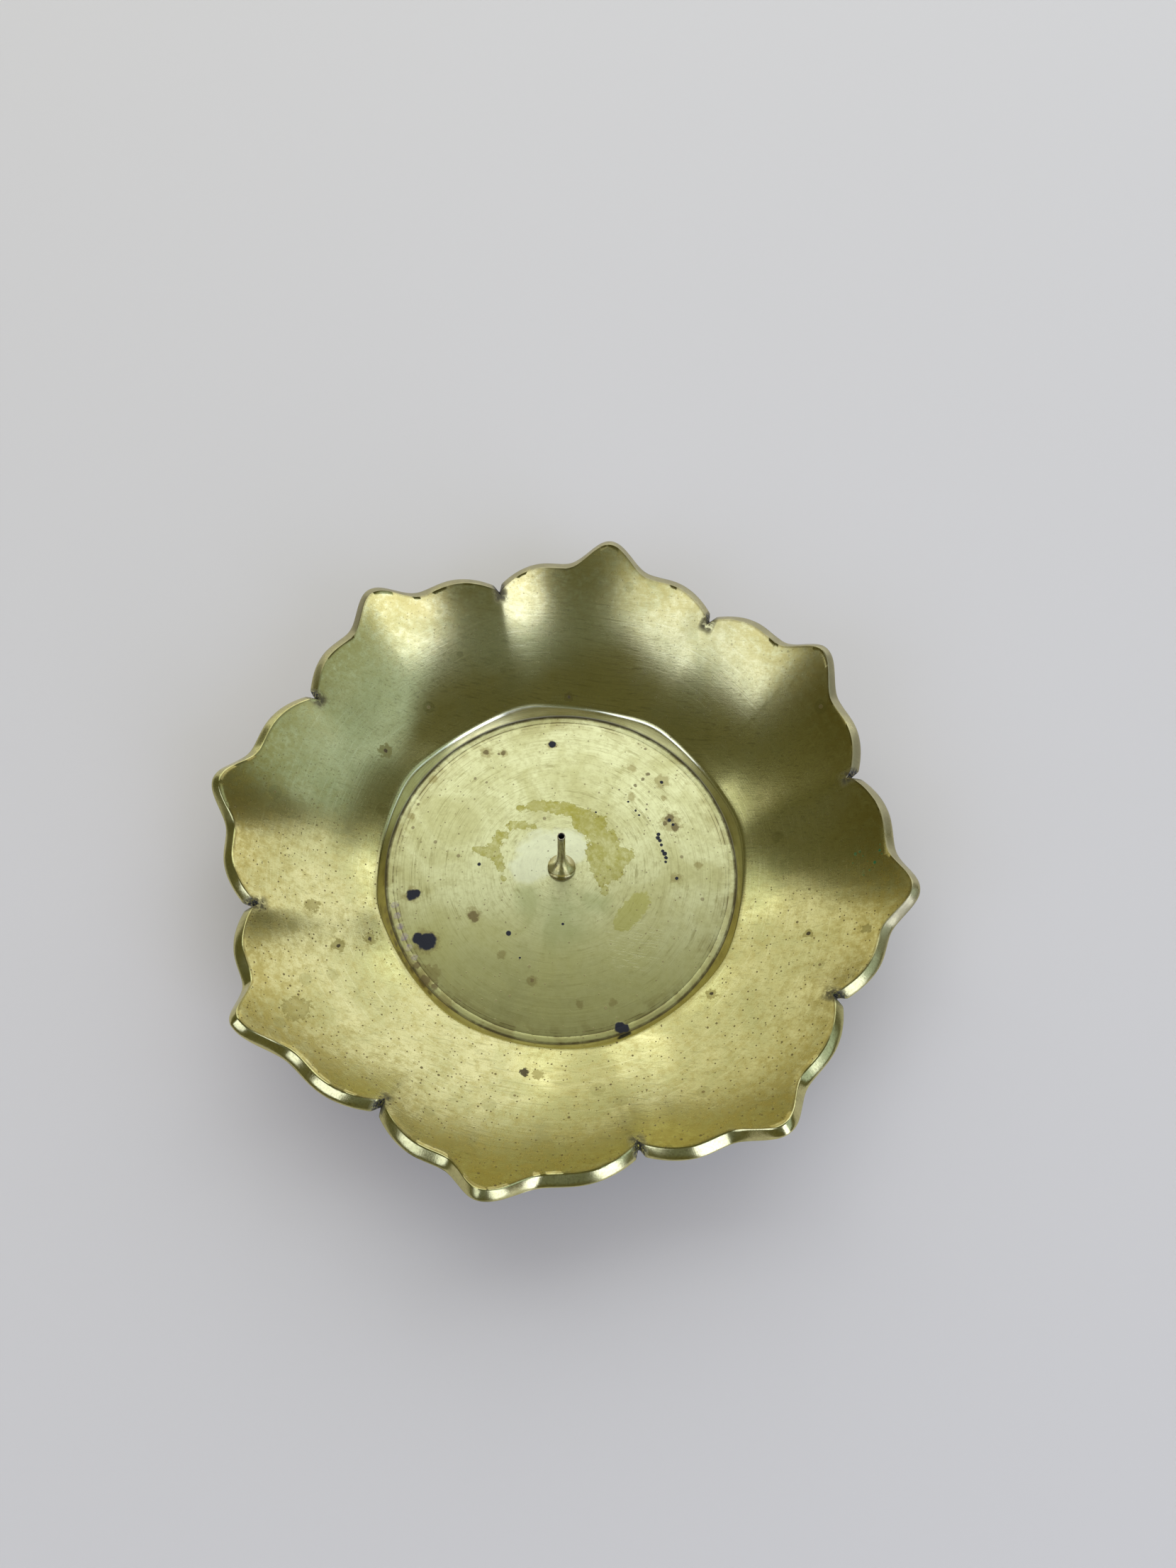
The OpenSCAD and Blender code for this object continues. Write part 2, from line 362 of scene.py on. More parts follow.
def petal_finish():
    material, tree, shader = new_finish("satin_petal_brass")
    where = millimetres(tree)
    cloudy = noise(tree, where, 0.05, 5.0, 0.62, 0.6)
    patchy = noise(tree, where, 0.16, 4.0, 0.6, 0.8)
    mottled = noise(tree, where, 0.55, 6.0, 0.72)
    grain = noise(tree, where, 3.6, 3.0, 0.6)
    brushed = lathe_marks(tree, where, 2.6, 5.0)
    rubbed = noise(tree, stretched(tree, where, -24, (0.08, 2.4, 1.4)), 1.0, 3.0, 0.6)
    crossed = noise(tree, stretched(tree, where, 35, (0.1, 3.0, 1.8)), 1.0, 3.0, 0.6)
    radius = radius_of(tree, where)
    used = step(tree, along(tree, where, 1), 22.0, -12.0, 0.3, 1.0)
    colour = blend(tree, step(tree, cloudy, 0.35, 0.68), BRASS, OLIVE_BRASS)
    colour = blend(tree, step(tree, patchy, 0.52, 0.68, 0.0, 0.4), colour, (0.56, 0.50, 0.19))
    brownish = product(tree, step(tree, mottled, 0.42, 0.68, 0.0, 0.8), used)
    colour = blend(tree, brownish, colour, (0.48, 0.41, 0.14))
    colour = blend(tree, step(tree, brushed, 0.5, 0.72, 0.0, 0.45), colour, PALE_BRASS)
    colour = blend(tree, step(tree, rubbed, 0.48, 0.28, 0.0, 0.45), colour, (0.30, 0.27, 0.10))
    colour = blend(tree, step(tree, grain, 0.45, 0.8, 0.0, 0.3), colour, BROWN_TARNISH)
    # Painted reflection: the petals turn a darker golden brown towards the rim.
    edge = product(tree, step(tree, radius, 54.0, 71.0), step(tree, mottled, 0.3, 0.6, 0.3, 1.0))
    colour = blend(tree, product(tree, edge, 0.8), colour, (0.42, 0.33, 0.08))
    pepper = larger(tree, specks(tree, where, 1.3, 0.24, 0.6), specks(tree, where, 0.55, 0.36, 0.3))
    pepper = product(tree, pepper, used)
    freckles = specks(tree, where, 0.19, 0.62, 0.36)
    halos = specks(tree, where, 0.19, 1.8, 0.36)
    rings = product(tree, halos, step(tree, freckles, 0.0, 0.6, 1.0, 0.0))
    ragged = noise(tree, where, 1.1, 3.0, 0.65)
    dull = stains(tree, where, ragged, [
        (-46.5, -44.0, 2.9), (-44.5, 20.0, 1.7), (55.0, -9.5, 1.2), (65.5, -9.5, 1.1), (36.5, -24.0, 1.3),
        (-43.5, -27.5, 1.5), (-38.0, -24.0, 1.5), (3.0, -47.0, 1.4), (-5.5, 43.0, 1.2), (-50.5, -20.5, 1.6),
    ])
    ring_hole = stains(tree, where, ragged, [(-46.5, -44.0, 2.2)])
    dull = product(tree, dull, step(tree, ring_hole, 0.0, 1.0, 1.0, 0.45))
    pits = stains(tree, where, ragged, [
        (-44.5, 20.0, 0.5), (-43.5, -27.5, 0.45), (-38.0, -24.0, 0.45), (0.0, -47.0, 1.05), (-5.5, 43.0, 0.4),
        (55.0, -9.5, 0.5), (36.5, -24.0, 0.45),
    ])
    colour = blend(tree, product(tree, rings, 0.38), colour, (0.34, 0.31, 0.11))
    colour = blend(tree, product(tree, dull, 0.75), colour, (0.31, 0.26, 0.08))
    colour = blend(tree, product(tree, pepper, 0.8), colour, (0.12, 0.08, 0.025))
    colour = blend(tree, product(tree, freckles, 0.75), colour, BROWN_TARNISH)
    colour = blend(tree, product(tree, pits, 0.9), colour, (0.07, 0.05, 0.025))
    verdigris = stains(tree, where, ragged, [(64.5, 6.5, 3.6)])
    verdigris = product(tree, verdigris, specks(tree, where, 1.1, 0.42, 0.75))
    colour = blend(tree, verdigris, colour, (0.05, 0.17, 0.06))
    notch = product(tree, near_notch(tree, where, 0.965), step(tree, radius, 62.0, 63.6))
    notch = product(tree, notch, step(tree, mottled, 0.35, 0.55))
    colour = blend(tree, product(tree, notch, 0.8), colour, BLACK_DEPOSIT)
    # Painted shade: a thin, broken dark line along the inner edge of the rim.
    rim_edge_shade_line = node(tree, "ShaderNodeAttribute", attribute_name="rim_edge").outputs["Fac"]
    rim_edge_shade_line = product(tree, step(tree, rim_edge_shade_line, 0.8, 0.98), step(tree, patchy, 0.3, 0.6, 0.15, 0.7))
    colour = blend(tree, rim_edge_shade_line, colour, (0.20, 0.16, 0.05))
    dirt = larger(tree, product(tree, pepper, 0.5), product(tree, freckles, 0.6))
    dirt = larger(tree, larger(tree, dirt, pits), larger(tree, verdigris, notch))
    metallic = step(tree, dirt, 0.0, 1.0, 1.0, 0.75)
    rough = step(tree, cloudy, 0.3, 0.7, 0.19, 0.27)
    rough = sum_of(tree, rough, product(tree, step(tree, mottled, 0.4, 0.75, -0.02, 0.07), used))
    rough = sum_of(tree, rough, product(tree, dirt, 0.3))
    rough = sum_of(tree, rough, product(tree, dull, 0.08))
    height = sum_of(tree, brushed, product(tree, rubbed, 0.7))
    height = sum_of(tree, height, product(tree, crossed, 0.4))
    height = sum_of(tree, height, product(tree, dirt, -0.6))
    join(tree, shader, colour, metallic, rough, height, 0.009 * MM)
    return material


def rim_finish():
    material, tree, shader = new_finish("filed_rim_brass")
    where = millimetres(tree)
    cloudy = noise(tree, where, 0.12, 4.0, 0.6, 0.4)
    filed = lathe_marks(tree, where, 0.4, 300.0)
    grain = noise(tree, where, 2.2, 4.0, 0.65)
    colour = blend(tree, step(tree, cloudy, 0.3, 0.7), BRASS, OLIVE_BRASS)
    colour = blend(tree, step(tree, grain, 0.42, 0.8, 0.0, 0.45), colour, BROWN_TARNISH)
    # Painted shade: the rim turns a dull, less metallic taupe towards the far side.
    toward_far = sum_of(tree, along(tree, where, 1), product(tree, along(tree, where, 0), 0.35))
    far_rim_painted_shade = product(tree, step(tree, toward_far, -6.0, 26.0), step(tree, cloudy, 0.2, 0.6, 0.6, 1.0))
    colour = blend(tree, product(tree, far_rim_painted_shade, 0.72), colour, (0.26, 0.22, 0.13))
    radius = radius_of(tree, where)
    notch = product(tree, near_notch(tree, where, 0.975), step(tree, radius, 68.0, 66.5))
    notch = product(tree, notch, step(tree, grain, 0.35, 0.55))
    colour = blend(tree, notch, colour, BLACK_DEPOSIT)
    # film holds the deposit in the notches and half of the painted far-side shade.
    film = larger(tree, notch, product(tree, far_rim_painted_shade, 0.5))
    metallic = step(tree, film, 0.0, 1.0, 1.0, 0.2)
    rough = sum_of(tree, step(tree, cloudy, 0.3, 0.7, 0.14, 0.26), product(tree, film, 0.35))
    height = sum_of(tree, product(tree, filed, 0.7), product(tree, grain, 0.5))
    join(tree, shader, colour, metallic, rough, height, 0.014 * MM)
    return material


def underside_finish():
    material, tree, shader = new_finish("dull_cast_brass")
    where = millimetres(tree)
    cloudy = noise(tree, where, 0.06, 5.0, 0.6, 0.5)
    sandy = noise(tree, where, 1.6, 5.0, 0.7)
    streaks = noise(tree, stretched(tree, where, 20, (0.25, 3.0, 1.0)), 1.0, 4.0, 0.7)
    colour = blend(tree, step(tree, cloudy, 0.3, 0.7), OLIVE_BRASS, (0.36, 0.28, 0.10))
    colour = blend(tree, step(tree, streaks, 0.5, 0.75, 0.0, 0.3), colour, BRASS)
    colour = blend(tree, step(tree, sandy, 0.4, 0.8, 0.0, 0.5), colour, BROWN_TARNISH)
    metallic = step(tree, sandy, 0.5, 0.9, 1.0, 0.8)
    rough = step(tree, cloudy, 0.3, 0.7, 0.34, 0.48)
    join(tree, shader, colour, metallic, rough, sum_of(tree, sandy, product(tree, streaks, 0.4)), 0.035 * MM)
    return material


def well_wall_finish():
    material, tree, shader = new_finish("turned_wall_brass")
    where = millimetres(tree)
    turned_marks = lathe_marks(tree, where, 9.0, 3.0)
    cloudy = noise(tree, where, 0.2, 4.0, 0.6)
    height_mm = along(tree, where, 2)
    # Painted shade with some grime: dark brown at the foot of the wall, where it meets the floor.
    corner_shade_and_grime = step(tree, height_mm, 6.75, 6.1)
    # Painted reflection: the wall is pale cream on its far half and dark olive on its near half.
    across = along(tree, where, 1)
    colour = blend(tree, step(tree, cloudy, 0.35, 0.7), (0.95, 0.91, 0.58), (0.86, 0.80, 0.44))
    colour = blend(tree, step(tree, across, 12.0, -8.0), colour, (0.36, 0.31, 0.11))
    colour = blend(tree, step(tree, turned_marks, 0.45, 0.8, 0.0, 0.3), colour, BROWN_TARNISH)
    colour = blend(tree, product(tree, corner_shade_and_grime, 0.9), colour, (0.06, 0.04, 0.015))
    metallic = step(tree, corner_shade_and_grime, 0.0, 1.0, 1.0, 0.4)
    rough = sum_of(tree, step(tree, cloudy, 0.3, 0.7, 0.15, 0.25), product(tree, corner_shade_and_grime, 0.3))
    join(tree, shader, colour, metallic, rough, turned_marks, 0.008 * MM)
    return material


def floor_finish():
    material, tree, shader = new_finish("turned_floor_brass")
    where = millimetres(tree)
    radius = radius_of(tree, where)
    cloudy = noise(tree, where, 0.07, 5.0, 0.6, 0.8)
    patchy = noise(tree, where, 0.22, 5.0, 0.65, 0.6)
    mottled = noise(tree, where, 0.7, 6.0, 0.72)
    grain = noise(tree, where, 3.5, 3.0, 0.6)
    ragged = noise(tree, where, 0.9, 4.0, 0.65)
    marks = lathe_marks(tree, where, 4.5, 2.6)
    rubbed = noise(tree, stretched(tree, where, 52, (0.3, 5.0, 1.0)), 1.0, 4.0, 0.7)
    rubbed_here = stains(tree, where, cloudy, [(19.0, -15.0, 9.0)], 0.8)
    wiped = product(tree, step(tree, rubbed, 0.52, 0.68), rubbed_here)

    colour = blend(tree, step(tree, cloudy, 0.4, 0.68), (0.80, 0.77, 0.42), (0.66, 0.62, 0.29))
    colour = blend(tree, step(tree, mottled, 0.42, 0.72, 0.0, 0.55), colour, (0.50, 0.45, 0.19))
    colour = blend(tree, step(tree, marks, 0.48, 0.78, 0.0, 0.5), colour, (0.40, 0.34, 0.13))
    smears = lathe_marks(tree, where, 1.5, 4.5)
    smeared = product(tree, step(tree, smears, 0.52, 0.68), step(tree, patchy, 0.42, 0.6))
    colour = blend(tree, product(tree, smeared, 0.55), colour, (0.30, 0.25, 0.08))
    # Painted shade: the floor turns darker and more olive towards its near side.
    near_side_painted_shade = step(tree, along(tree, where, 1), -6.0, -26.0)
    colour = blend(tree, product(tree, near_side_painted_shade, 0.6), colour, (0.56, 0.53, 0.19))
    colour = blend(tree, product(tree, wiped, 0.4), colour, (0.86, 0.83, 0.55))

    pool = dried_pool(tree, where, ragged, [
        (-20.0, 1.5, 0.8), (-18.0, 1.0, 1.1), (-16.0, 2.5, 1.4), (-15.0, 5.5, 1.4), (-13.0, 8.5, 1.3),
        (-10.5, 9.0, 1.0), (-8.0, 9.0, 0.8), (-15.0, 0.0, 1.3), (-13.5, -2.0, 1.0), (-12.5, -4.5, 0.7),
        (-12.0, 13.0, 0.9), (-9.5, 14.0, 1.2), (-7.5, 14.5, 1.3), (-5.0, 14.5, 1.4), (-2.5, 14.5, 1.5),
        (0.0, 14.5, 1.5), (3.5, 14.0, 1.6), (7.0, 13.0, 1.4), (2.0, 11.5, 1.5), (5.0, 10.0, 1.8),
        (9.0, 9.0, 2.2), (7.0, 5.5, 2.1), (11.0, 5.0, 2.4),
        (14.5, 5.5, 1.4), (8.0, 2.0, 1.9), (12.0, 1.5, 2.0), (9.5, -1.0, 1.6), (10.5, -4.0, 0.9),
    ])
    dried = step(tree, pool, 0.78, 0.86)
    dried_line = product(tree, dried, step(tree, pool, 0.98, 0.84))
    low_pool = dried_pool(tree, where, ragged, [
        (19.0, -4.5, 1.7), (17.5, -6.5, 2.1), (16.5, -9.0, 2.2), (15.0, -11.0, 1.5),
    ])
    low_patch = step(tree, low_pool, 0.7, 1.0)
    cleaned = stains(tree, where, patchy, [(-4.5, 3.0, 7.0), (1.0, 5.0, 5.0), (-7.5, -1.0, 5.0)], 0.35, 0.15)
    # Painted shade: greyer, darker patches on the floor in front of the nozzle.
    painted_grey_shade = stains(tree, where, cloudy, [(1.5, -11.0, 10.0), (-6.0, -8.5, 6.0), (8.0, -7.0, 5.5)], 0.9)
    colour = blend(tree, product(tree, painted_grey_shade, 0.5), colour, (0.45, 0.48, 0.22))
    colour = blend(tree, product(tree, cleaned, 0.6), colour, (0.86, 0.85, 0.60))
    shade = product(tree, step(tree, patchy, 0.3, 0.7, 0.6, 1.0), step(tree, mottled, 0.3, 0.6, 0.55, 1.0))
    colour = blend(tree, product(tree, dried, shade), colour, (0.42, 0.37, 0.07))
    colour = blend(tree, product(tree, dried_line, 0.35), colour, (0.30, 0.25, 0.06))
    colour = blend(tree, product(tree, low_patch, 0.55), colour, (0.46, 0.42, 0.07))

    worn_edge = product(tree, step(tree, radius, 33.5, 38.6), step(tree, patchy, 0.42, 0.62))
    colour = blend(tree, product(tree, worn_edge, 0.45), colour, (0.36, 0.29, 0.10))
    lines = larger(tree, band(tree, radius, 38.0, 0.05, 0.15), band(tree, radius, 37.2, 0.02, 0.08))
    lines = product(tree, lines, step(tree, patchy, 0.4, 0.62, 0.0, 0.75))
    colour = blend(tree, lines, colour, (0.17, 0.13, 0.05))
    # Painted shade with some grime: a thin dark ring on the floor at the foot of the wall.
    corner_shade_and_grime = product(tree, step(tree, radius, 38.9, 39.4), step(tree, patchy, 0.3, 0.6, 0.5, 0.9))
    colour = blend(tree, corner_shade_and_grime, colour, (0.07, 0.05, 0.015))

    pepper = larger(tree, specks(tree, where, 1.1, 0.24, 0.45), specks(tree, where, 0.34, 0.5, 0.3))
    belt = stains(tree, where, cloudy, [(17.5, 18.5, 8.5), (9.0, 21.0, 4.5)], 0.8)
    belt = product(tree, belt, specks(tree, where, 1.3, 0.3, 0.3))
    halos = stains(tree, where, ragged, [
        (-26.5, -21.5, 3.6), (-32.0, -11.5, 2.4), (-7.5, 31.0, 1.5), (-17.5, -14.0, 2.1), (19.5, 25.5, 2.3),
        (26.0, 2.0, 1.6), (-22.5, 26.5, 1.7), (-18.5, 27.0, 1.3), (23.0, 15.5, 3.2), (-24.5, -29.0, 3.2),
        (30.5, 6.0, 1.2), (-33.5, 17.5, 1.3), (12.0, 28.0, 1.4), (-2.0, -26.5, 1.5), (13.0, 20.5, 1.3),
        (-36.5, 7.5, 1.0), (9.0, -30.0, 1.1), (-9.5, -22.0, 1.2),
        (16.0, -28.5, 1.1), (20.5, 21.5, 0.9), (-20.0, -34.0, 2.5), (-30.0, -27.0, 2.6),
    ], 0.5)
    colour = blend(tree, product(tree, halos, 0.6), colour, (0.34, 0.27, 0.09))
    browns = stains(tree, where, ragged, [
        (-17.5, -14.0, 1.3), (-17.0, -15.0, 0.8), (-22.5, 26.5, 0.8), (-18.5, 27.0, 0.7), (-19.5, 26.5, 0.45),
        (22.5, 16.5, 1.3), (24.0, 14.5, 1.1), (21.5, 15.0, 0.7), (-25.0, -30.0, 1.2), (-22.5, -31.0, 0.9),
        (-27.5, -27.0, 0.9), (16.0, 27.0, 0.6), (15.0, 25.5, 0.5), (13.5, 23.5, 0.5), (-2.0, -26.5, 0.5),
    ], 0.35)
    colour = blend(tree, product(tree, browns, 0.75), colour, RUST_BROWN)
    lumpy = noise(tree, where, 0.55, 2.0, 0.5)
    blacks = stains(tree, where, lumpy, [
        (-26.5, -21.5, 2.4), (-28.5, -21.0, 1.4), (-32.0, -11.5, 1.5), (-31.0, -11.0, 1.1),
        (-7.5, 31.0, 1.05), (-9.0, -17.0, 0.65), (-18.5, -2.0, 0.45), (2.5, -13.0, 0.36),
        (19.5, 25.5, 0.55), (26.0, 2.0, 0.45),
        (20.5, 12.0, 0.5), (20.5, 11.0, 0.6), (21.0, 10.5, 0.6), (21.5, 9.5, 0.5), (22.0, 8.0, 0.5),
        (22.5, 7.5, 0.6), (23.0, 6.5, 0.5), (23.0, 5.5, 0.45), (18.5, -33.5, 1.5), (19.5, -33.5, 1.1),
        (22.5, 16.0, 0.5), (23.5, 15.0, 0.4), (-5.5, -22.0, 0.3), (5.5, 15.0, 0.3), (14.5, 17.0, 0.35),
        (15.5, 16.0, 0.3), (12.5, 19.0, 0.3),
    ], 0.3, 0.15)
    crescent = [on_circle(38.0, angle, 1.0) for angle in range(202, 224, 4)]
    residue = stains(tree, where, ragged, crescent, 0.5)
    worn_residue = product(tree, residue, step(tree, mottled, 0.35, 0.6, 0.2, 0.85))
    colour = blend(tree, worn_residue, colour, (0.24, 0.19, 0.22))
    colour = blend(tree, product(tree, pepper, 0.6), colour, BROWN_TARNISH)
    colour = blend(tree, product(tree, belt, 0.75), colour, (0.13, 0.09, 0.04))
    colour = blend(tree, blacks, colour, BLACK_DEPOSIT)

    dirt = larger(tree, product(tree, pepper, 0.5), product(tree, belt, 0.7))
    dirt = larger(tree, dirt, larger(tree, product(tree, browns, 0.4), blacks))
    # dirt also takes in a little of the painted corner shade.
    dirt = larger(tree, dirt, larger(tree, product(tree, residue, 0.7), product(tree, corner_shade_and_grime, 0.25)))
    film = larger(tree, product(tree, dried, 0.5), product(tree, halos, 0.4))
    metallic = step(tree, dirt, 0.0, 1.0, 0.96, 0.15)
    rough = step(tree, cloudy, 0.3, 0.7, 0.32, 0.4)
    rough = sum_of(tree, rough, step(tree, marks, 0.3, 0.7, -0.03, 0.05))
    rough = sum_of(tree, rough, product(tree, dirt, 0.25))
    rough = sum_of(tree, rough, product(tree, film, 0.05))
    height = sum_of(tree, marks, product(tree, grain, 0.3))
    height = sum_of(tree, height, product(tree, wiped, -0.8))
    height = sum_of(tree, height, product(tree, dirt, 2.0))
    join(tree, shader, colour, metallic, rough, height, 0.01 * MM)
    return material


def nozzle_finish():
    material, tree, shader = new_finish("polished_nozzle_brass")
    where = millimetres(tree)
    rings = noise(tree, stretched(tree, where, 0, (0.15, 0.15, 6.0)), 1.0, 4.0, 0.6)
    streaks = noise(tree, stretched(tree, where, 0, (2.6, 2.6, 0.12)), 1.0, 4.0, 0.65)
    cloudy = noise(tree, where, 0.9, 4.0, 0.6)
    height_mm = along(tree, where, 2)
    mouth = step(tree, height_mm, 24.2, 25.3)
    # Painted contact shadow: the foot of the nozzle, where it meets the floor, is painted almost black.
    painted_contact_shadow = step(tree, height_mm, 8.0, 7.6)
    colour = blend(tree, step(tree, cloudy, 0.35, 0.7), (0.95, 0.91, 0.70), (0.78, 0.69, 0.42))
    stem = step(tree, height_mm, 8.6, 11.5)
    # Painted shade: the back of the nozzle, on the far side, is painted dark brown.
    back_painted_shade = step(tree, along(tree, where, 1), -0.3, 1.2)
    colour = blend(tree, product(tree, back_painted_shade, 0.7), colour, (0.26, 0.20, 0.08))
    streaked = product(tree, step(tree, streaks, 0.42, 0.66, 0.0, 0.85), stem)
    colour = blend(tree, streaked, colour, (0.20, 0.13, 0.05))
    colour = blend(tree, step(tree, rings, 0.5, 0.8, 0.0, 0.35), colour, BROWN_TARNISH)
    colour = blend(tree, product(tree, mouth, 0.55), colour, (0.10, 0.065, 0.03))
    colour = blend(tree, product(tree, painted_contact_shadow, 0.7), colour, (0.06, 0.045, 0.02))
    metallic = step(tree, mouth, 0.0, 1.0, 1.0, 0.8)
    rough = step(tree, cloudy, 0.3, 0.7, 0.07, 0.13)
    join(tree, shader, colour, metallic, rough, sum_of(tree, rings, product(tree, streaks, 0.5)), 0.006 * MM)
    return material


def bore_finish():
    material, tree, shader = new_finish("near_black_bore")
    where = millimetres(tree)
    # The bore is painted near black, with a faint mottle.
    bore_mottle = noise(tree, where, 3.0, 4.0, 0.6)
    colour = blend(tree, step(tree, bore_mottle, 0.3, 0.8), (0.010, 0.010, 0.016), (0.045, 0.035, 0.025))
    metallic = step(tree, bore_mottle, 0.5, 0.9, 0.0, 0.3)
    rough = step(tree, bore_mottle, 0.3, 0.7, 0.5, 0.75)
    join(tree, shader, colour, metallic, rough, bore_mottle, 0.02 * MM)
    return material


def foot_finish():
    material, tree, shader = new_finish("worn_foot_brass")
    where = millimetres(tree)
    marks = lathe_marks(tree, where, 5.0, 2.0)
    cloudy = noise(tree, where, 0.15, 5.0, 0.6, 0.5)
    scuffs = noise(tree, stretched(tree, where, 25, (0.4, 6.0, 1.0)), 1.0, 4.0, 0.7)
    colour = blend(tree, step(tree, cloudy, 0.3, 0.7), OLIVE_BRASS, (0.34, 0.27, 0.09))
    colour = blend(tree, step(tree, scuffs, 0.5, 0.8, 0.0, 0.5), colour, BRASS)
    metallic = step(tree, cloudy, 0.6, 0.9, 1.0, 0.85)
    rough = step(tree, scuffs, 0.3, 0.7, 0.42, 0.3)
    join(tree, shader, colour, metallic, rough, marks, 0.015 * MM)
    return material


def hardware_finish():
    material, tree, shader = new_finish("plain_hardware_brass")
    where = millimetres(tree)
    cloudy = noise(tree, where, 0.5, 5.0, 0.6, 0.5)
    grain = noise(tree, where, 4.0, 3.0, 0.6)
    colour = blend(tree, step(tree, cloudy, 0.3, 0.7), (0.52, 0.42, 0.17), (0.28, 0.21, 0.07))
    metallic = step(tree, grain, 0.6, 0.95, 1.0, 0.8)
    rough = step(tree, cloudy, 0.3, 0.7, 0.3, 0.45)
    join(tree, shader, colour, metallic, rough, grain, 0.02 * MM)
    return material


# ---------------------------------------------------------------- pieces

def cast_petals():
    """The flower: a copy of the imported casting, rounded finely and given its four finishes."""
    piece = copy_of_node("petal_dish", "cast_petals")
    for make in (petal_finish, rim_finish, underside_finish, well_wall_finish):
        piece.data.materials.append(make())
    for face in piece.data.polygons:
        outward = Vector((face.center.x, face.center.y, 0)).normalized()
        leans_out = face.normal.dot(outward)
        distance = Vector((face.center.x, face.center.y)).length
        if distance < well_r + 2.2 * MM and leans_out < -0.5:
            face.material_index = 3
        elif face.normal.z < 0.05:
            face.material_index = 2
        elif leans_out > 0.02 and distance > 60 * MM:
            face.material_index = 1
        else:
            face.material_index = 0
    on_top = {v for face in piece.data.polygons if face.material_index == 0 for v in face.vertices}
    on_rim = {v for face in piece.data.polygons if face.material_index == 1 for v in face.vertices}
    # Marks where the petals meet the rim, for the painted shade line along the rim's inner edge.
    rim_edge_shade_line = piece.data.attributes.new("rim_edge", "FLOAT", "POINT")
    for v in on_top & on_rim:
        rim_edge_shade_line.data[v].value = 1.0
    open_mesh(piece, "EDGE")
    bpy.ops.mesh.select_all(action="DESELECT")
    bpy.ops.mesh.edges_select_sharp(sharpness=math.radians(26))
    bpy.ops.transform.edge_crease(value=0.5)
    close_mesh()
    add_modifier(piece, "SUBSURF", levels=2, render_levels=2)
    finish_modifiers(piece)
    hand = bpy.data.textures.new("hand_finishing", "CLOUDS")
    hand.noise_scale = 14 * MM
    hand.noise_depth = 2
    add_modifier(piece, "DISPLACE", texture=hand, texture_coords="LOCAL", strength=0.035 * MM, mid_level=0.5)
    file_strokes = bpy.data.textures.new("file_strokes", "CLOUDS")
    file_strokes.noise_scale = 4.5 * MM
    file_strokes.noise_depth = 0
    rim = piece.vertex_groups.new(name="rim")
    on_rim = {v for face in piece.data.polygons if face.material_index == 1 for v in face.vertices}
    beside = {v for face in piece.data.polygons if face.material_index != 1 for v in face.vertices}
    rim.add(sorted(on_rim - beside), 1.0, "REPLACE")
    add_modifier(
        piece, "DISPLACE", texture=file_strokes, texture_coords="LOCAL", strength=0.11 * MM, mid_level=0.5,
        vertex_group="rim",
    )
    finish_modifiers(piece)
    smooth(piece, 40)
    settle(piece, "petal_brass", "petal_dish")
    return piece


def floor_disc():
    """The floor of the well: a domed disc with a fine turned line near its edge."""
    under_z = plate_low.z
    hole_r = nozzle_shank_r() + 0.05 * MM
    dome_r = well_r - 1.0 * MM
    foot_inner = foot_high.x - 5 * MM
    outline = [(hole_r, seat_z)]
    steps = 22
    for i in range(1, steps + 1):
        r = hole_r + (dome_r - 0.9 * MM - hole_r) * i / steps
        outline.append((r, well_z + dome_h * (1 - (r / dome_r) ** 2)))
    line_r = dome_r - 0.5 * MM
    level = well_z + dome_h * (1 - (line_r / dome_r) ** 2)
    cut = 0.1 * MM
    outline += [(line_r - cut, level), (line_r, level - 0.03 * MM), (line_r + cut, level - 0.01 * MM)]
    outline += [(dome_r + 0.2 * MM, well_z), (plate_r - 0.1 * MM, well_z), (plate_r, well_z - 0.1 * MM)]
    outline.append((plate_r, under_z))
    for i in range(steps + 1):
        r = foot_inner + (hole_r - foot_inner) * i / steps
        outline.append((r, under_z + dome_h * (1 - (r / foot_inner) ** 2)))
    outline.append(outline[0])
    piece = turned("floor_disc", outline, 256)
    piece.data.materials.append(floor_finish())
    smooth(piece, 25)
    settle(piece, "turned_brass", "floor_plate")
    return piece


def nozzle_shank_r():
    shank = [v.co for v in frame["nodes"]["nozzle"].data.vertices if v.co.z < nozzle_low.z + 2 * MM]
    return max(Vector((p.x, p.y)).length for p in shank)


